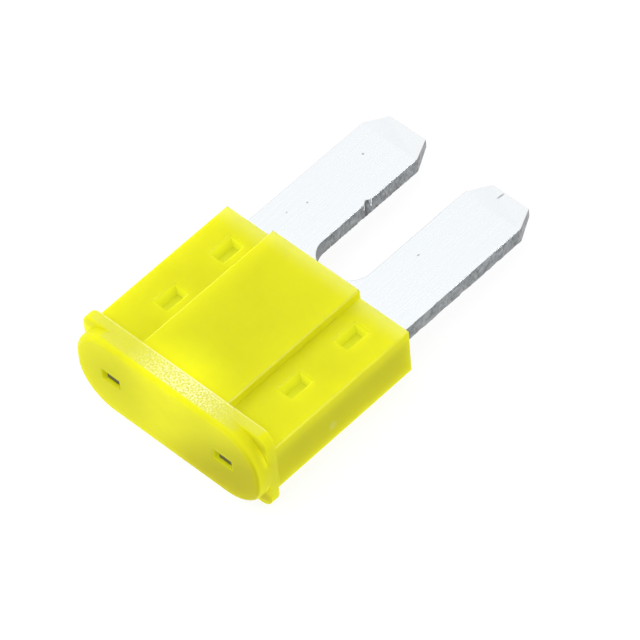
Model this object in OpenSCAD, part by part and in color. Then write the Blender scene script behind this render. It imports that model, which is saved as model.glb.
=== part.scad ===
// Two-blade plug-in fuse: a translucent moulded housing staked onto a stamped fuse element.
// It lies on its broad side. X is across the blades, +Y runs from the head to the blade tips, +Z is up.
// The origin is on the surface under the middle of the fuse.

/* [Overall] */
// Length from the front of the head to the blade tips
total_l = 15.3; // [14.8:0.1:17]

/* [Head] */
// Width of the lip
head_w = 8.95; // [8.9:0.05:9.8]
// Thickness of the head
head_t = 3.85; // [3.5:0.05:4.4]
// Length of the lip
lip_l = 0.45; // [0.35:0.01:0.8]
// Corner radius of the lip
lip_r = 0.55; // [0.2:0.05:1]
// Rounding of the lip's back edge
lip_edge_r = 0.08; // [0.04:0.01:0.15]
// Width of the round-ended boss in front of the lip
boss_w = 9; // [8.5:0.02:9.6]
// Corner radius of the boss
boss_r = 1.74; // [1:0.02:1.74]
// Length of the boss in front of the lip
boss_l = 0.55; // [0.5:0.01:0.9]
// Rounding of the boss round its front face
boss_edge_r = 0.26; // [0.1:0.02:0.45]

/* [Body] */
// Length of the body behind the lip
body_l = 6.86; // [6.6:0.01:7.4]
// Width of the body over its shoulders
body_w = 8.88; // [8.7:0.02:8.9]
// Thickness of the body at its shoulders
body_t = 2.28; // [2.1:0.02:2.5]
// Width of the raised panel over the fuse link
panel_w = 4.22; // [4:0.02:4.6]
// Thickness of the body at the raised panel
panel_t = 3.22; // [2.9:0.02:3.4]
// Rounding of the body's long edges
edge_r = 0.1; // [0.05:0.01:0.15]
// Rounding of the panel's edge at the blade end
panel_end_r = 0.14; // [0.08:0.01:0.35]
// Plastic between the cavity and the back of the lip
crown_l = 0.92; // [0.7:0.02:1.1]
// Width of the chamber round the fuse link
chamber_w = 3.3; // [3.1:0.05:3.5]
// Height of the chamber round the fuse link
chamber_t = 2.2; // [2:0.05:2.4]

/* [Stakes] */
// Distance of the stakes from the middle of the fuse
stake_x = 3.03; // [2.9:0.01:3.1]
// Distance of the first stakes from the back of the lip
stake_y = 2.51; // [2.3:0.01:2.7]
// Distance between the two stakes of a shoulder
stake_pitch = 2.86; // [2.4:0.01:3.2]
// Length of a stake pit at its mouth
pit_l = 1.12; // [1:0.02:1.3]
// Width of a stake pit at its mouth
pit_w = 0.74; // [0.6:0.02:0.8]
// Length of a stake pit at its floor
stake_l = 0.92; // [0.7:0.02:0.98]
// Width of a stake pit at its floor
stake_w = 0.4; // [0.3:0.02:0.5]
// Depth of a stake pit
pit_depth = 0.46; // [0.3:0.02:0.5]
// Plastic that a stake pushes into the element
stake_reach = 0.2; // [0.12:0.02:0.3]

/* [Test points] */
// Distance of the test slots from the middle of the fuse
test_x = 2.74; // [2.5:0.02:2.9]
// Width of a test slot
test_w = 0.88; // [0.76:0.02:1]
// Height of a test slot
test_t = 0.54; // [0.44:0.02:0.64]
// Depth of the metal behind the face of the head
test_depth = 0.14; // [0.05:0.01:0.3]
// Width of a test tab
tab_w = 0.6; // [0.4:0.02:0.66]

/* [Element] */
// Thickness of the strip
blade_t = 0.7; // [0.6:0.02:0.74]
// Width of a blade
blade_w = 2.72; // [2.6:0.02:2.86]
// Distance between the middles of the blades
blade_pitch = 5.03; // [5:0.01:5.18]
// Length of the corner cuts at a tip
tip_cut_l = 0.97; // [0.6:0.01:1.2]
// Width of the corner cuts at a tip
tip_cut_w = 0.48; // [0.3:0.02:0.7]
// Length of the bevel on both faces of a tip
tip_bevel_l = 1.05; // [0.8:0.05:1.3]
// Thickness of a tip at its end
tip_t = 0.42; // [0.3:0.02:0.5]
// Radius of the flare at the foot of the gap between the blades
foot_r = 1; // [0.8:0.05:1.3]
// Distance of the start of the flare from the body
foot_l = 1.5; // [1.3:0.05:2]
// Gap between the two halves of the strip inside the body
inner_gap = 1.1; // [1:0.05:1.4]
// Length of the strip inside the chamber mouth
throat_l = 1.2; // [1:0.05:1.4]
// Mean radius of the fuse link's arch
link_r = 0.85; // [0.7:0.02:0.95]
// Width of the fuse link
link_w = 0.4; // [0.3:0.02:0.5]
// Thickness of the fuse link
link_t = 0.3; // [0.2:0.02:0.5]
// Length of the fuse link's legs
link_leg_l = 1.1; // [0.8:0.05:1.4]

/* [Fits] */
// Clearance between the strip and the cavity
slot_clear = 0.05; // [0.02:0.01:0.08]
// Clearance between the strip and the stakes
stake_clear = 0.05; // [0.03:0.01:0.08]

/* [Hidden] */
$fn = 48;

// Stations along the fuse, from the front of the head to the blade tips
front_y = -total_l / 2;
lip_y = front_y + boss_l;
body_y = lip_y + lip_l;
body_end_y = body_y + body_l;
tip_y = front_y + total_l;
cavity_y = body_y + crown_l;
throat_y = body_end_y - throat_l;

// The strip's mid-plane above the surface that the fuse lies on
mid_z = head_t / 2;

// Strip and cavity
blade_in = (blade_pitch - blade_w) / 2;
blade_out = (blade_pitch + blade_w) / 2;
slot_w = 2 * (blade_out + slot_clear);
slot_t = blade_t + 2 * slot_clear;
wall_in = slot_t / 2;
strip_y = cavity_y;
chamber_y = cavity_y + slot_clear;
arch_y = chamber_y + slot_clear + link_r + link_w;
tab_t = test_t - 2 * slot_clear;
boss_depth = boss_l + lip_l / 2;
over = 0.2;

// Stations of the stakes along a shoulder, and the two signs that mirror a shape about the middle
stake_ys = [body_y + stake_y, body_y + stake_y + stake_pitch];
sides = [-1, 1];

// Extrudes a flat shape drawn in X and Z along Y, from y to y + l
module along_y(y, l) {
    translate([0, y + l, 0]) rotate([90, 0, 0]) linear_extrude(l) children();
}

// Extrudes a flat shape drawn in Y and Z along X, over a width that is centred on X
module along_x(w) {
    rotate([90, 0, 90]) linear_extrude(w, center = true) children();
}

// Flat rectangle with four round corners
module round_rect(w, h, r) {
    square([w - 2 * r, h], center = true);
    square([w, h - 2 * r], center = true);
    for (x = sides, y = sides)
        translate([x * (w / 2 - r), y * (h / 2 - r)]) circle(r);
}

// Flat rectangle from x0 to x1 whose corners at x1 are round
module round_end(x0, x1, h, r) {
    translate([x0, -h / 2]) square([x1 - r - x0, h]);
    translate([x0, r - h / 2]) square([x1 - x0, h - 2 * r]);
    for (y = sides)
        translate([x1 - r, y * (h / 2 - r)]) circle(r);
}

// Block of the body with round long edges and a rounding of end_r at its blade end
module body_block(w, t, end_r) {
    start = lip_y + lip_l / 2;
    intersection() {
        along_y(start, body_end_y - start) round_rect(w, t, edge_r);
        along_x(w + over) round_end(start, body_end_y, t, end_r);
    }
}

// Plate across the fuse from y = 0 to l, with corners of radius r and a rounding round its face at 0
module round_plate(w, t, r, l, edge_round) {
    for (x = sides, z = sides)
        translate([x * (w / 2 - r), 0, z * (t / 2 - r)])
            rotate([-90, 0, 0]) rotate_extrude() corner_profile(r, l, edge_round);
    along_x(w - 2 * r) plate_section(t, l, edge_round);
    linear_extrude(t - 2 * r, center = true) rotate(90) plate_section(w, l, edge_round);
}

// Half section through a corner of a plate
module corner_profile(r, l, edge_round) {
    intersection() {
        rotate(90) plate_section(2 * r, l, edge_round);
        square([r, l]);
    }
}

// Section of a plate, with its thickness along X and round corners at 0
module plate_section(size, l, edge_round) {
    mirror([1, 0]) round_end(-l, 0, size, edge_round);
}

// Lip of the head, with its rounded edge towards the blades
module lip() {
    translate([0, body_y, 0]) mirror([0, 1, 0]) round_plate(head_w, head_t, lip_r, lip_l, lip_edge_r);
}

// Boss of the head, with its rounded edge at the front and its back held in the lip
module boss() {
    translate([0, front_y, 0]) round_plate(boss_w, head_t, boss_r, boss_depth, boss_edge_r);
}

// Tapered pit that the staking punch leaves, drawn at its mouth and pointing down
module stake_pit() {
    intersection() {
        rotate([90, 0, 0]) linear_extrude(pit_l, center = true) pit_taper(pit_w, stake_w);
        along_x(pit_w) pit_taper(pit_l, stake_l);
    }
}

// Flat section of a pit, with its walls carried on a little above the mouth
module pit_taper(mouth, floor_w) {
    polygon([
        [-floor_w / 2, -pit_depth], [floor_w / 2, -pit_depth],
        [mouth / 2, 0], [mouth / 2, over], [-mouth / 2, over], [-mouth / 2, 0]
    ]);
}

// Sets its child at each stake of one broad face
module at_stakes() {
    for (x = sides, y = stake_ys)
        translate([x * stake_x, y, 0]) children();
}

// Moulded housing: head, shoulders and panel, hollowed for the strip and staked into it
module housing() {
    color([0.93, 0.92, 0.16])
    translate([0, 0, mid_z]) {
        difference() {
            union() {
                lip();
                boss();
                body_block(body_w, body_t, edge_r);
                body_block(panel_w, panel_t, panel_end_r);
            }
            along_y(cavity_y, body_end_y + over - cavity_y) square([slot_w, slot_t], center = true);
            along_y(chamber_y, body_end_y + over - chamber_y) square([chamber_w, chamber_t], center = true);
            for (x = sides)
                translate([x * test_x, 0, 0])
                    along_y(front_y - over, cavity_y + 2 * over - front_y)
                        square([test_w, test_t], center = true);
            for (face = [0, 1])
                mirror([0, 0, face]) translate([0, 0, body_t / 2]) at_stakes() stake_pit();
        }
        for (face = [0, 1])
            mirror([0, 0, face])
                at_stakes() translate([-stake_w / 2, -stake_l / 2, wall_in - stake_reach])
                    cube([stake_w, stake_l, stake_reach + over / 2]);
    }
}

// Flat outline of the right half of the strip, with its blade, flare and stake holes
module half_strip() {
    difference() {
        polygon([
            [chamber_w / 2, strip_y], [blade_out, strip_y],
            [blade_out, tip_y - tip_cut_l], [blade_out - tip_cut_w, tip_y],
            [blade_in + tip_cut_w, tip_y], [blade_in, tip_y - tip_cut_l],
            [blade_in, body_end_y + foot_l], [inner_gap / 2, body_end_y + foot_l],
            [inner_gap / 2, throat_y], [chamber_w / 2, throat_y]
        ]);
        translate([blade_in - foot_r, body_end_y + foot_l]) circle(foot_r);
        for (y = stake_ys)
            translate([stake_x, y])
                square([stake_w + 2 * stake_clear, stake_l + 2 * stake_clear], center = true);
    }
}

// Flat outline of the fuse link: an arch on two legs, with a foot out to each half of the strip
module link_outline() {
    leg_end = arch_y + link_leg_l;
    difference() {
        translate([0, arch_y]) circle(link_r + link_w / 2);
        translate([0, arch_y]) circle(link_r - link_w / 2);
        translate([-chamber_w / 2, arch_y]) square([chamber_w, chamber_w]);
    }
    for (x = sides)
        translate([x * link_r - link_w / 2, arch_y]) square([link_w, link_leg_l]);
    for (m = [0, 1])
        mirror([m, 0]) translate([link_r - link_w / 2, leg_end - link_w])
            square([chamber_w / 2 + over - link_r + link_w / 2, link_w]);
}

// Section of the strip along the fuse, with the bevelled tip
module strip_section() {
    bevel_y = tip_y - tip_bevel_l;
    polygon([
        [strip_y, -blade_t / 2], [bevel_y, -blade_t / 2], [tip_y, -tip_t / 2],
        [tip_y, tip_t / 2], [bevel_y, blade_t / 2], [strip_y, blade_t / 2]
    ]);
}

// Stamped fuse element: two blades, test tabs and the link between them, in one plated strip
module fuse_element() {
    color([0.86, 0.87, 0.88])
    translate([0, 0, mid_z]) {
        intersection() {
            linear_extrude(blade_t, center = true)
                for (m = [0, 1]) mirror([m, 0]) half_strip();
            along_x(2 * blade_out + over) strip_section();
        }
        linear_extrude(link_t, center = true) link_outline();
        for (x = sides)
            translate([x * test_x, 0, 0])
                along_y(front_y + test_depth, strip_y + over - front_y - test_depth)
                    square([tab_w, tab_t], center = true);
    }
}

housing();
fuse_element();
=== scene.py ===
"""Looks of a small plug-in blade fuse: a translucent yellow moulding on a stamped, plated strip."""

import math

import bmesh
import bpy
from bpy.props import FloatProperty, FloatVectorProperty, PointerProperty
from mathutils import Matrix, Vector
from mathutils.bvhtree import BVHTree


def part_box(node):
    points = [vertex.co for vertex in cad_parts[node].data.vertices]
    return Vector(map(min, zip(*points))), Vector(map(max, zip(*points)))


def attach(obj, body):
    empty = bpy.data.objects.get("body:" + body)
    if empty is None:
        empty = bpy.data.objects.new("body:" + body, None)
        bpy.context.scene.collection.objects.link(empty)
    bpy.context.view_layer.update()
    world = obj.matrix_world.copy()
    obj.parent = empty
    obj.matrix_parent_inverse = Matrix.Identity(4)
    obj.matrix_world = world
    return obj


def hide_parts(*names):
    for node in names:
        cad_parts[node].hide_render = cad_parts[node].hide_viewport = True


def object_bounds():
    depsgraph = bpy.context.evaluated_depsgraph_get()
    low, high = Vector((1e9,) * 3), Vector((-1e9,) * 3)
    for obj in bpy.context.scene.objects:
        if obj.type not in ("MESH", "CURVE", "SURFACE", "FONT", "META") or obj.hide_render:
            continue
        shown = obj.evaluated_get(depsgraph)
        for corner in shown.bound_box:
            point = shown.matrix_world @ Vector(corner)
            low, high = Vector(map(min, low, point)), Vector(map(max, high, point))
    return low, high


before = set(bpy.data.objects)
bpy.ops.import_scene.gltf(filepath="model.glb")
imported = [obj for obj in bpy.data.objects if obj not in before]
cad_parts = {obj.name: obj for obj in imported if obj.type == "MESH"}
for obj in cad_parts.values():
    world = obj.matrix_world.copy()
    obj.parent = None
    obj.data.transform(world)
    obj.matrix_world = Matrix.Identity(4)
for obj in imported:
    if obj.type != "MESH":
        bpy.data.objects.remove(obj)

bl_info = {
    "name": "Blade Fuse Looks",
    "version": (1, 0, 0),
    "blender": (4, 5, 0),
    "location": "View3D > Sidebar > Fuse",
    "description": "Dresses the fuse's solids and sets up its studio",
    "category": "Object",
}

CAD_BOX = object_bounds()
MM = 0.001
MID_Z = (CAD_BOX[0].z + CAD_BOX[1].z) / 2

# Places on the housing in millimetres, from the sizes of its solid; heights of tops are from its middle
MIDDLE = MID_Z / MM
HEAD_TOP = (CAD_BOX[1].z - CAD_BOX[0].z) / 2 / MM
FRONT = CAD_BOX[0].y / MM
LIP_FRONT = FRONT + 0.55
LIP_BACK = LIP_FRONT + 0.45
BODY_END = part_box("housing")[1].y / MM
SHOULDER_TOP = 1.14
TIP = CAD_BOX[1].y / MM
PANEL_W = 4.22
STAKE_X = 3.03
STAKE_PITCH = 2.86
STAKE_Y = LIP_BACK + 2.51 + STAKE_PITCH / 2
PIT_L = 1.12
PIT_W = 0.74
TEST_X = 2.74
TEST_W = 0.88
TEST_T = 0.54
GATE_Y = LIP_BACK + 2.8
GATE_Z = 1.6
# Middle of the painted sheen on the head's satin
SHEEN_X = 0.5

# Places on the element in millimetres; a mark is x, y, radius and how many times longer than wide
NICK_Y = 4.04
NICK_WIDTH = 0.1
MARKS = (
    (-2.83, 5.58, 0.06, 1),
    (-3.05, 1.78, 0.04, 1),
    (-2.8, 2.6, 0.05, 1),
    (2.24, 7.4, 0.05, 5),
    (1.9, 3.4, 0.04, 2),
)

# Shaping of the meshes, in metres and radians
RIPPLE_CUTS = 60
SIDE_AREA = 3 * MM * MM
RAIL_LENGTH = 3 * MM
WELD = 0.0001 * MM
SLIVER = 0.001 * MM
TOUCH = 0.01 * MM
SAME_FACE = math.radians(0.6)
ROUNDED_EDGE = math.radians(60)
CREASE = math.radians(50)

# Studio: lamps' distance and floor's half width in metres, camera's sensor in millimetres
LAMP_DISTANCE = 0.45
FLOOR_REACH = 2
SENSOR = 36


def length(name, description, default, **limits):
    """A length in metres that the sidebar shows with its unit."""
    return FloatProperty(
        name=name, description=description, default=default, unit="LENGTH", precision=5, **limits
    )


def colour(name, description, default):
    """A colour in linear light."""
    return FloatVectorProperty(
        name=name, description=description, default=default, subtype="COLOR", size=3, min=0, max=1
    )


def angle(name, description, degrees):
    """An angle that is given in degrees."""
    return FloatProperty(name=name, description=description, default=math.radians(degrees), subtype="ANGLE")


def power(name, description, default):
    """A lamp's power in watts."""
    return FloatProperty(name=name, description=description, default=default, unit="POWER")


def strength(name, description, default):
    """How strongly something glows."""
    return FloatProperty(name=name, description=description, default=default, min=0)


class HousingSettings(bpy.types.PropertyGroup):
    """What a user would change on the moulded housing."""

    softness: length("Edge softness", "Rounding of edges that the mould leaves sharp", 0.035 * MM, min=0)
    plastic: colour("Plastic", "Body colour of the plastic", (0.73, 0.72, 0.02))
    lit_plastic: colour("Lit plastic", "Where light comes through over the hollow", (0.95, 0.93, 0.02))
    # Painted shade low on the front of the head and on the narrow sides; also the colour of the plastic's
    # random cloudy tone
    shaded_and_cloudy_plastic: colour("Deep plastic", "Low on the head and on the narrow sides", (0.48, 0.45, 0.012))
    # Painted shade: darker olive on the floors of the stake pits and in the mouths of the test slots
    shaded_olive: colour("Olive", "Floors of the stake pits, where the metal shows through", (0.5, 0.53, 0.02))
    frosted: colour("Frosted", "Satin of the head's broad sides", (0.62, 0.61, 0.11))
    # Pale colour of painted highlights, glints, sheen and reflections, and of the gate's own spot
    pale_highlight_and_gate: colour("Sparkle", "Bright grains of the satin", (0.97, 0.96, 0.62))
    # Strength of a painted glow that lightens the shade in the recesses
    painted_recess_light: strength("Carried light", "Light that the plastic carries into its recesses", 0.7)


class ElementSettings(bpy.types.PropertyGroup):
    """What a user would change on the stamped element."""

    softness: length("Edge softness", "Roll of the stamped edges", 0.03 * MM, min=0)
    ripple: length("Ripple", "Unevenness of the sheared sides", 0.04 * MM, min=0)
    nick: length("Nick", "Depth of the nick in one blade's inner edge", 0.15 * MM, min=0)
    plating: colour("Plating", "Bright plating of the broad faces", (0.8, 0.83, 0.85))
    shear: colour("Sheared edge", "Bare metal of the stamped edges", (0.23, 0.245, 0.255))
    # Also painted shade on the element within the head, where the test tabs show dark in their slots, and
    # at the left blade's inner foot
    dulled_and_shaded: colour("Dulled metal", "Test tabs, and pits of the sheared sides", (0.09, 0.085, 0.07))
    tip: colour("Tip", "Warm sheen of the bevelled tips", (0.97, 0.93, 0.92))


class StageSettings(bpy.types.PropertyGroup):
    """What a user would change on the camera and the studio."""

    azimuth: angle("Azimuth", "Camera's way round the fuse, from the head", 47.371)
    elevation: angle("Elevation", "Camera's height over the horizon", 50.949)
    roll: angle("Roll", "Camera's turn about its own axis", -5.344)
    distance: length("Distance", "From the camera to the fuse's middle", 213.585 * MM, min=0)
    lens: FloatProperty(name="Lens", description="Focal length of the camera", default=337.2, unit="CAMERA")
    aim_right: length("Aim right", "How far right of the fuse's middle the camera looks", 0.177 * MM)
    aim_up: length("Aim up", "How far above the fuse's middle the camera looks", -1.042 * MM)
    paper: colour("Paper", "Colour of the floor", (0.16, 0.16, 0.16))
    paper_glow: strength("Paper glow", "Light from under the floor's paper", 0.88)
    room: strength("Room", "Light from all round", 0.4)
    overhead: power("Overhead", "Power of the lamp overhead", 1.15)
    panel: power("Panel", "Power of the lamp behind the blades", 0.85)
    rim: power("Rim", "Power of the small lamp at the right", 0.22)
    fill: power("Fill", "Power of the lamp before the head", 0.5)


class Socket:
    """A socket of a finish that can stand in a Python expression."""

    def __init__(self, finish, socket):
        self.finish = finish
        self.socket = socket

    def __add__(self, other):
        return self.finish.math("ADD", self, other)

    __radd__ = __add__

    def __sub__(self, other):
        return self.finish.math("SUBTRACT", self, other)

    def __rsub__(self, other):
        return self.finish.math("SUBTRACT", other, self)

    def __mul__(self, other):
        return self.finish.math("MULTIPLY", self, other)

    __rmul__ = __mul__

    def __truediv__(self, other):
        return self.finish.math("DIVIDE", self, other)

    def __pow__(self, other):
        return self.finish.math("POWER", self, other)

    def __abs__(self):
        return self.finish.math("ABSOLUTE", self)


class Finish:
    """A material and the nodes that shade it. Places are in millimetres in the fuse's own frame."""

    def __init__(self, name):
        self.material = bpy.data.materials.new(name)
        self.material.use_nodes = True
        self.nodes = self.material.node_tree.nodes
        self.links = self.material.node_tree.links
        self.shader = self.nodes["Principled BSDF"]
        coordinates = self.nodes.new("ShaderNodeTexCoord")
        place = Socket(self, coordinates.outputs["Object"])
        in_mm = {"Vector": place, "Scale": 1 / MM}
        self.place = self.node("ShaderNodeVectorMath", {"operation": "SCALE"}, in_mm)
        self.x, self.y, self.z = self.split(self.place)
        self.nx, self.ny, self.nz = self.split(Socket(self, coordinates.outputs["Normal"]))

    def feed(self, socket, value):
        """Sets a socket to a value or links it."""
        if isinstance(value, Socket):
            self.links.new(value.socket, socket)
        else:
            socket.default_value = value

    def node(self, kind, settings, inputs, output=0):
        """Adds a node of any kind and returns one of its outputs."""
        made = self.nodes.new(kind)
        for name, value in settings.items():
            setattr(made, name, value)
        for name, value in inputs.items():
            self.feed(made.inputs[name], value)
        return Socket(self, made.outputs[output])

    def math(self, operation, *values):
        """A Math node on values or sockets."""
        return self.node("ShaderNodeMath", {"operation": operation}, dict(enumerate(values)))

    def split(self, vector):
        """The x, y and z of a vector."""
        made = self.nodes.new("ShaderNodeSeparateXYZ")
        self.feed(made.inputs[0], vector)
        return [Socket(self, output) for output in made.outputs]

    def rise(self, value, low, high):
        """0 below low, 1 above high and smooth between them."""
        span = {"From Min": low, "From Max": high, "Value": value}
        return self.node("ShaderNodeMapRange", {"interpolation_type": "SMOOTHSTEP"}, span)

    def near(self, value, middle, half):
        """1 within half of a middle value, and 0 outside."""
        return 1 - self.rise(abs(value - middle), half - 0.02, half + 0.02)

    def either(self, first, *others):
        """The greatest of some masks."""
        for other in others:
            first = self.math("MAXIMUM", first, other)
        return first

    def mix(self, share, first, second):
        """From the first colour to the second."""
        sockets = {0: share, 6: self.opaque(first), 7: self.opaque(second)}
        return self.node("ShaderNodeMix", {"data_type": "RGBA"}, sockets, 2)

    @staticmethod
    def opaque(value):
        """A colour with full alpha, where it isn't a socket already."""
        return value if isinstance(value, Socket) else (*value, 1)

    def stretched(self, sx, sy, sz):
        """The place in millimetres with each axis multiplied."""
        factors = {0: self.place, 1: (sx, sy, sz)}
        return self.node("ShaderNodeVectorMath", {"operation": "MULTIPLY"}, factors)

    def noise(self, scale, detail=2, vector=None):
        """Cloudy noise about 0.5, with scale in cells a millimetre."""
        return self.node(
            "ShaderNodeTexNoise", {}, {"Vector": vector or self.place, "Scale": scale, "Detail": detail}
        )

    def bump(self, height, depth):
        """A normal from a height of 0 to 1 over a depth in millimetres."""
        return self.node("ShaderNodeBump", {}, {"Height": height, "Distance": depth * MM, "Strength": 1.0})

    def shade(self, **sockets):
        """Feeds the shader's sockets, with spaces in their names written as underscores."""
        for name, value in sockets.items():
            self.feed(self.shader.inputs[name.replace("_", " ")], value)
        return self.material


def ripple(shape, settings):
    """Gives the blades' sheared sides the uneven lower edge and the nick that the stamping left."""
    long_sides = [f for f in shape.faces if f.normal.x > 0.99 and f.calc_area() > SIDE_AREA]
    for face in long_sides:
        rails = [e for e in face.edges if abs(e.verts[0].co.y - e.verts[1].co.y) > RAIL_LENGTH]
        cut = bmesh.ops.subdivide_edges(shape, edges=rails, cuts=RIPPLE_CUTS)
        for vertex in {v for v in cut["geom_inner"] if isinstance(v, bmesh.types.BMVert)}:
            y = vertex.co.y / MM
            wave = math.sin(3.1 * y) + 0.7 * math.sin(7.9 * y + 1) + 0.5 * math.sin(17 * y)
            low = vertex.co.z < MID_Z
            vertex.co.z += settings.ripple * wave if low else 0
            vertex.co.x += settings.ripple * wave * (0.5 if low else 0.12)
            if vertex.co.x < 0 and not low:
                vertex.co.x -= settings.nick * math.exp(-((y - NICK_Y) / NICK_WIDTH) ** 2)


def is_tight(edge):
    """Whether an edge is on the lip's ends, where the round head leaves it no room to be rounded."""
    reach = CAD_BOX[1].x - TOUCH
    return all(abs(v.co.x) > reach and v.co.y < LIP_FRONT * MM + TOUCH for v in edge.verts)


def softened_copy(node, name, softness, shaping=None):
    """A copy of a CAD solid with its flat faces merged, then shaped, and its outer edges rounded."""
    mesh = bpy.data.meshes.new(name)
    shape = bmesh.new()
    shape.from_mesh(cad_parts[node].data)
    bmesh.ops.remove_doubles(shape, verts=shape.verts, dist=WELD)
    bmesh.ops.dissolve_limit(shape, angle_limit=SAME_FACE, verts=shape.verts, edges=shape.edges)
    if shaping:
        shaping(shape)
    surface = BVHTree.FromBMesh(shape)
    outer = [e for e in shape.edges if e.is_convex and e.calc_face_angle() > ROUNDED_EDGE]
    sharp = [e for e in outer if not is_tight(e)]
    bmesh.ops.bevel(
        shape, geom=sharp, offset=softness, offset_type="OFFSET", segments=2, profile=0.5,
        affect="EDGES", clamp_overlap=False,
    )
    # Points that the rounding threw off go back to the surface, and all stay in the solid's box
    low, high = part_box(node)
    for vertex in shape.verts:
        place, _, _, away = surface.find_nearest(vertex.co)
        if away > softness:
            vertex.co = place
        vertex.co = [min(max(c, a), b) for c, a, b in zip(vertex.co, low, high)]
    # Slivers that the rounding left are closed
    bmesh.ops.remove_doubles(shape, verts=shape.verts, dist=SLIVER)
    bmesh.ops.dissolve_degenerate(shape, edges=shape.edges, dist=SLIVER)
    for face in shape.faces:
        face.smooth = True
    for edge in shape.edges:
        edge.smooth = edge.is_manifold and edge.calc_face_angle() < CREASE
    shape.to_mesh(mesh)
    shape.free()
    piece = bpy.data.objects.new(name, mesh)
    bpy.context.scene.collection.objects.link(piece)
    normals = piece.modifiers.new("Flat faces stay flat", "WEIGHTED_NORMAL")
    normals.weight = 100
    normals.keep_sharp = True
    return piece


def put_on(piece, node, material):
    """Lets a piece stand for a CAD node on the part's one body, with the node's finish."""
    piece.data.materials.clear()
    piece.data.materials.append(material)
    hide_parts(node)
    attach(piece, "root")


def stake_pits(f, off_middle):
    """The pits that the staking left in the shoulders."""
    across = f.near(abs(f.x), STAKE_X, PIT_W / 2)
    along = f.near(abs(f.y - STAKE_Y), STAKE_PITCH / 2, PIT_L / 2)
    return across * along * (1 - f.rise(off_middle, SHOULDER_TOP - 0.1, SHOULDER_TOP - 0.01))


def panel_foot(f, off_middle, behind_head):
    """The foot of the raised panel's sides."""
    beside = 1 - f.rise(abs(abs(f.x) - PANEL_W / 2), 0.02, 0.35)
    return beside * behind_head * (1 - f.rise(off_middle, SHOULDER_TOP, SHOULDER_TOP + 0.5))


def head_notch(f, off_middle):
    """The crescent between the head's round ends and the lip."""
    before_lip = 1 - f.rise(f.y, LIP_FRONT + 0.003, LIP_FRONT + 0.012)
    along = f.rise(f.y, LIP_FRONT - 0.25, LIP_FRONT) * before_lip
    across = f.rise(abs(f.x), 2.4, 3.6)
    upright = f.rise(off_middle, 0.4, 0.7) * (1 - f.rise(off_middle, 1.0, 1.5))
    return along * across * upright


def test_slots(f, off_middle):
    """The mouths of the two test slots in the head."""
    across = f.near(abs(f.x), TEST_X, TEST_W / 2 + 0.03)
    upright = f.near(off_middle, 0, TEST_T / 2 + 0.03)
    along = f.rise(f.y, FRONT + 0.01, FRONT + 0.05) * (1 - f.rise(f.y, FRONT + 0.25, FRONT + 0.3))
    return across * upright * along


def body_edges(f, off_middle, behind_head):
    """The rounded long edges of the shoulders and the panel, which catch the light."""
    slanted = f.rise(abs(f.nx * f.nz), 0.25, 0.45)
    return slanted * behind_head * f.rise(off_middle, SHOULDER_TOP - 0.06, SHOULDER_TOP - 0.03)


def shaded_narrow_sides(f, behind_head):
    """The lower part of the body's narrow sides, where shade is painted darker towards the bottom."""
    upright = f.rise(abs(f.nx), 0.7, 0.95)
    outside = f.rise(abs(f.x), STAKE_X + PIT_W, STAKE_X + PIT_W + 0.1)
    return upright * outside * behind_head * (1 - f.rise(f.z, MIDDLE + 0.2, MIDDLE + SHOULDER_TOP))


def gate_spot(f):
    """The faint round spot that the mould's gate left on the right narrow side."""
    away = ((f.y - GATE_Y) ** 2 + (f.z - GATE_Z) ** 2) ** 0.5
    return (1 - f.rise(away, 0.03, 0.28)) * f.rise(f.nx, 0.5, 0.9)


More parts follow.
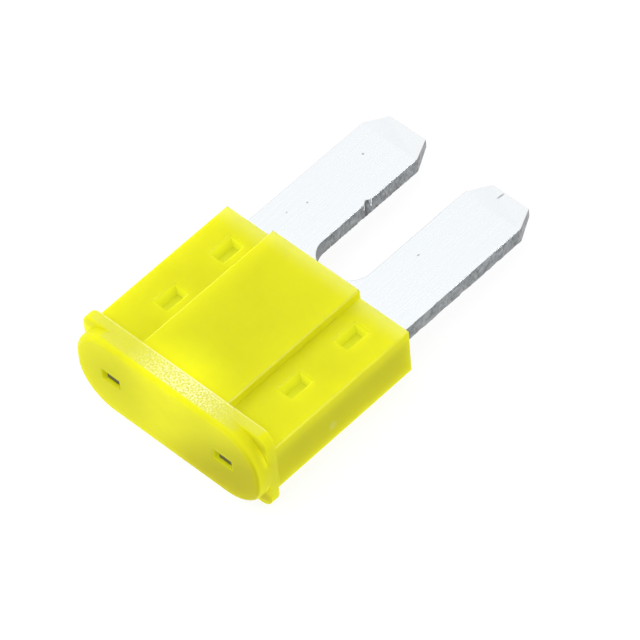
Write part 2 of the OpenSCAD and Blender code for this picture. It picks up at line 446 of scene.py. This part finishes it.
def yellow_plastic(settings):
    """Translucent lemon-yellow plastic with satin broad sides on the head."""
    f = Finish("yellow_plastic")
    off_middle = abs(f.z - MIDDLE)
    behind_head = f.rise(f.y, LIP_BACK, LIP_BACK + 0.1)
    flat = f.rise(abs(f.nz), 0.93, 0.99)
    pits = stake_pits(f, off_middle)
    slots = test_slots(f, off_middle)
    edges = body_edges(f, off_middle, behind_head)
    gate = gate_spot(f)

    # Satin of the head, with its grain, painted glints and a painted sheen
    on_head = 1 - f.rise(f.y, LIP_BACK - 0.05, LIP_BACK + 0.02)
    satin = flat * on_head * f.rise(off_middle, 1.0, 1.2)
    # Painted highlight along the lip's back top edge
    back_edge_highlight = f.near(f.y, LIP_BACK - 0.04, 0.04) * f.rise(off_middle, HEAD_TOP - 0.1, HEAD_TOP - 0.03)
    # Painted sheen: a soft glare across the middle of the satin
    sheen = 1 - f.rise(abs(f.x - SHEEN_X), 0.3, 2.7)
    grain = f.noise(7, 3)
    glint_grains = f.rise(f.noise(13, 2), 0.38, 0.7)

    # Painted light and shade in the plastic, and its cloudy tone
    reach = ((f.x / 2.0) ** 2 + ((f.y - LIP_BACK) / 1.6) ** 2) ** 0.5
    glow = 1 - f.rise(reach, 0.1, 1.3)
    cloud = f.rise(f.noise(0.5, 2), 0.35, 0.8)
    # Painted reflection: a pale band along the body's far end
    far_rim_reflection = f.rise(f.y, BODY_END - 0.9, BODY_END + 0.1) * f.rise(abs(f.nz), 0.4, 0.9)
    forward = f.rise(-1 * f.ny, 0.5, 0.8)
    # Painted shade: the front of the head darker towards its lower right
    shaded_low_corner = forward * f.rise(f.x + 1.4 * (MIDDLE - f.z), 0.2, 4.0)
    # Painted shade: the lower narrow sides darker towards the bottom
    ends = shaded_narrow_sides(f, behind_head)

    # Colours, each over the one before
    base = f.mix(glow, settings.plastic, settings.lit_plastic)
    # Random cloudy tone of the plastic
    base = f.mix(cloud * 0.15, base, settings.shaded_and_cloudy_plastic)
    # Painted shade on the lower front corner and the lower narrow sides
    base = f.mix(f.either(shaded_low_corner * 0.9, ends * 0.35), base, settings.shaded_and_cloudy_plastic)
    # Painted reflection on the far rim and a faint painted highlight on the long edges
    base = f.mix(f.either(far_rim_reflection * 0.2, edges * 0.05), base, settings.pale_highlight_and_gate)
    # Painted shade: darker olive in the stake pits and the test slots' mouths
    base = f.mix(f.either(pits * 0.9, slots * 0.6), base, settings.shaded_olive)
    base = f.mix(satin * (0.3 + 0.6 * grain), base, settings.frosted)
    # Painted glints and sheen on the satin
    base = f.mix(satin * glint_grains * sheen, base, settings.pale_highlight_and_gate)
    # Painted highlight on the lip's back edge, and the gate's own pale spot
    base = f.mix(f.either(back_edge_highlight * grain * (0.5 + sheen), gate * grain * 0.25), base, settings.pale_highlight_and_gate)

    foot = panel_foot(f, off_middle, behind_head)
    notch = head_notch(f, off_middle)
    # Painted glow that lightens the shade at the panel's foot, in the head's notch, in the slots and in the
    # stake pits
    painted_recess_glow = f.either(foot * 0.2, notch * 0.35, slots * 0.25, pits * (0.65 - 0.2 * flat))
    rough = 0.22 + 0.35 * satin + 0.06 * f.noise(3, 2)
    height = f.noise(5, 3) * 0.1 + satin * grain
    return f.shade(
        Base_Color=base,
        Roughness=rough,
        Normal=f.bump(height, 0.02),
        IOR=1.5,
        Specular_IOR_Level=0.02,
        Coat_Weight=edges,
        Coat_Roughness=0.25,
        Subsurface_Weight=1.0,
        Subsurface_Scale=1.6 * MM,
        Subsurface_Radius=(1.0, 0.95, 0.1),
        Emission_Color=f.mix(painted_recess_glow, (0, 0, 0), settings.plastic),
        Emission_Strength=settings.painted_recess_light,
    )


def mark(f, x, y, radius, longer):
    """A small dark mark on a broad face, drawn out along the strip."""
    away = ((f.x - x) ** 2 + ((f.y - y) / longer) ** 2) ** 0.5
    return 1 - f.rise(away, 0.5 * radius, radius)


def plated_strip(settings):
    """Bright plating with fine rolling lines, and the bare sheared edges of the stamping."""
    f = Finish("plated_strip")
    side = 1 - f.rise(abs(f.nz), 0.35, 0.75)
    right_side = side * f.rise(f.nx, 0.2, 0.6)
    tip = f.rise(f.y, TIP - 1.1, TIP - 1.0) * (1 - f.rise(abs(f.nz), 0.98, 0.995))
    # Painted shade: the element dark within the head, where the test tabs show in their slots
    shaded_tabs = 1 - f.rise(f.y, LIP_FRONT, LIP_BACK)
    lines = f.noise(1.0, 3, f.stretched(22, 0.25, 22))
    specks = f.either(*(mark(f, *place) for place in MARKS)) * f.rise(f.nz, 0.5, 0.9)
    tears = f.noise(1.0, 3, f.stretched(11, 11, 5))
    burr = f.rise(f.noise(1.0, 2, f.stretched(2.5, 2.5, 4)), 0.4, 0.62)
    pitted = right_side * f.rise(tears, 0.45, 0.7)
    left_blade = 1 - f.rise(f.x, -0.5, 0)
    by_housing = 1 - f.rise(f.y, 0.4, 2.6)
    by_nick = f.near(f.y, NICK_Y - 0.12, 0.08)
    # Painted shade at the left blade's inner foot by the housing, and darker beside the nick
    shaded_inner_side = right_side * left_blade * f.either(by_housing, by_nick)

    base = f.mix(lines * 0.12, settings.plating, settings.shear)
    base = f.mix(tip * 0.6, base, settings.tip)
    base = f.mix(f.either(specks * 0.7, side * (0.8 + 0.3 * tears - 0.15 * burr)), base, settings.shear)
    # Real pitting on the sheared sides, and painted shade on the test tabs and the left blade's inner foot
    base = f.mix(f.either(shaded_tabs * 0.9, pitted * 0.4, shaded_inner_side * 0.6), base, settings.dulled_and_shaded)
    rough = 0.24 + 0.08 * lines + 0.16 * side
    height = lines * (1 - side) + tears * side * 6
    return f.shade(Base_Color=base, Metallic=1.0, Roughness=rough, Normal=f.bump(height, 0.0003))


class FUSE_OT_housing(bpy.types.Operator):
    """Makes the moulded housing with its soft edges and yellow plastic"""

    bl_idname = "fuse.housing"
    bl_label = "Moulded housing"

    def execute(self, context):
        settings = context.scene.fuse_housing
        piece = softened_copy("housing", "moulded_housing", settings.softness)
        put_on(piece, "housing", yellow_plastic(settings))
        return {"FINISHED"}


class FUSE_OT_element(bpy.types.Operator):
    """Makes the stamped element with its rolled edges and plating"""

    bl_idname = "fuse.element"
    bl_label = "Plated element"

    def execute(self, context):
        settings = context.scene.fuse_element
        piece = softened_copy(
            "fuse_element", "plated_element", settings.softness, lambda shape: ripple(shape, settings)
        )
        put_on(piece, "fuse_element", plated_strip(settings))
        return {"FINISHED"}


def camera_axes(azimuth, elevation, roll):
    """Right, up and back of a camera that looks at the fuse, as unit vectors."""
    out = math.cos(elevation)
    back = Vector((math.sin(azimuth) * out, -math.cos(azimuth) * out, math.sin(elevation)))
    level = Vector((math.cos(azimuth), math.sin(azimuth), 0))
    over = back.cross(level)
    right = math.cos(roll) * level + math.sin(roll) * over
    return right, back.cross(right), back


def facing(back, place):
    """A matrix that puts a lamp at a place, shining against back."""
    return Matrix.Translation(place) @ back.to_track_quat("Z", "Y").to_matrix().to_4x4()


def soft_lamp(name, direction, size, watts):
    """A square lamp that faces the fuse from a direction."""
    lamp = bpy.data.lights.new(name, "AREA")
    lamp.size = size
    lamp.energy = watts
    holder = bpy.data.objects.new(name, lamp)
    bpy.context.scene.collection.objects.link(holder)
    back = Vector(direction).normalized()
    holder.matrix_world = facing(back, back * LAMP_DISTANCE)


def resting_slope():
    """How far the floor leans so that the fuse lies on its head and on the far end of its body."""
    points = [v.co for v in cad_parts["housing"].data.vertices]
    foot = max((p for p in points if p.z < CAD_BOX[0].z + SLIVER), key=lambda p: p.y)
    return foot, min((p.z - foot.z) / (p.y - foot.y) for p in points if p.y > foot.y + MM)


class FUSE_OT_stage(bpy.types.Operator):
    """Sets the camera, the soft lamps and the pale floor"""

    bl_idname = "fuse.stage"
    bl_label = "Studio"

    def execute(self, context):
        scene = context.scene
        settings = scene.fuse_stage
        right, up, back = camera_axes(settings.azimuth, settings.elevation, settings.roll)
        middle = Vector((0, 0, MID_Z))
        camera = bpy.data.objects.new("camera", bpy.data.cameras.new("camera"))
        scene.collection.objects.link(camera)
        eye = middle + back * settings.distance
        look = (eye - (middle + right * settings.aim_right + up * settings.aim_up)).normalized()
        side = (right - look * right.dot(look)).normalized()
        turn = Matrix((side, look.cross(side), look)).transposed()
        camera.matrix_world = Matrix.Translation(eye) @ turn.to_4x4()
        camera.data.lens = settings.lens
        camera.data.sensor_width = SENSOR
        camera.data.clip_start = 0.01
        scene.camera = camera
        self.lay_floor(scene, settings)
        mirrored = (-back.x, -1.2 * back.y, 0.93 * back.z)
        soft_lamp("overhead", (-0.15, -0.25, 1), 0.4, settings.overhead)
        soft_lamp("panel", mirrored, 0.6, settings.panel)
        soft_lamp("rim", (0.777, 0.427, 0.464), 0.04, settings.rim)
        soft_lamp("fill", (-0.5, -0.75, 0.4), 0.5, settings.fill)
        world = bpy.data.worlds.new("room")
        world.use_nodes = True
        background = world.node_tree.nodes["Background"]
        background.inputs["Color"].default_value = (1, 1, 1, 1)
        background.inputs["Strength"].default_value = settings.room
        scene.world = world
        scene.view_settings.view_transform = "Standard"
        return {"FINISHED"}

    @staticmethod
    def lay_floor(scene, settings):
        """A large sheet of pale paper under the resting fuse."""
        foot, slope = resting_slope()
        mesh = bpy.data.meshes.new("floor")
        sheet = bmesh.new()
        bmesh.ops.create_grid(sheet, x_segments=1, y_segments=1, size=FLOOR_REACH)
        sheet.to_mesh(mesh)
        sheet.free()
        floor = bpy.data.objects.new("floor", mesh)
        scene.collection.objects.link(floor)
        place = Matrix.Translation((0, foot.y, foot.z))
        floor.matrix_world = place @ Matrix.Rotation(math.atan(slope), 4, "X")
        paper = Finish("paper")
        floor.data.materials.append(paper.shade(
            Base_Color=paper.opaque(settings.paper),
            Roughness=0.9,
            Specular_IOR_Level=0.0,
            Emission_Color=(1, 1, 1, 1),
            Emission_Strength=settings.paper_glow,
        ))


class FUSE_PT_looks(bpy.types.Panel):
    """The fuse's pieces and studio in the sidebar"""

    bl_idname = "FUSE_PT_looks"
    bl_label = "Blade fuse"
    bl_space_type = "VIEW_3D"
    bl_region_type = "UI"
    bl_category = "Fuse"

    def draw(self, context):
        for operator, group in (
            (FUSE_OT_housing, context.scene.fuse_housing),
            (FUSE_OT_element, context.scene.fuse_element),
            (FUSE_OT_stage, context.scene.fuse_stage),
        ):
            box = self.layout.box()
            box.operator(operator.bl_idname)
            for name in group.__annotations__:
                box.prop(group, name)


CLASSES = (
    HousingSettings,
    ElementSettings,
    StageSettings,
    FUSE_OT_housing,
    FUSE_OT_element,
    FUSE_OT_stage,
    FUSE_PT_looks,
)


def register():
    for cls in CLASSES:
        bpy.utils.register_class(cls)
    bpy.types.Scene.fuse_housing = PointerProperty(type=HousingSettings)
    bpy.types.Scene.fuse_element = PointerProperty(type=ElementSettings)
    bpy.types.Scene.fuse_stage = PointerProperty(type=StageSettings)


def unregister():
    del bpy.types.Scene.fuse_stage
    del bpy.types.Scene.fuse_element
    del bpy.types.Scene.fuse_housing
    for cls in reversed(CLASSES):
        bpy.utils.unregister_class(cls)


def main():
    register()
    bpy.ops.fuse.housing()
    bpy.ops.fuse.element()
    bpy.ops.fuse.stage()


if __name__ == "__main__":
    main()
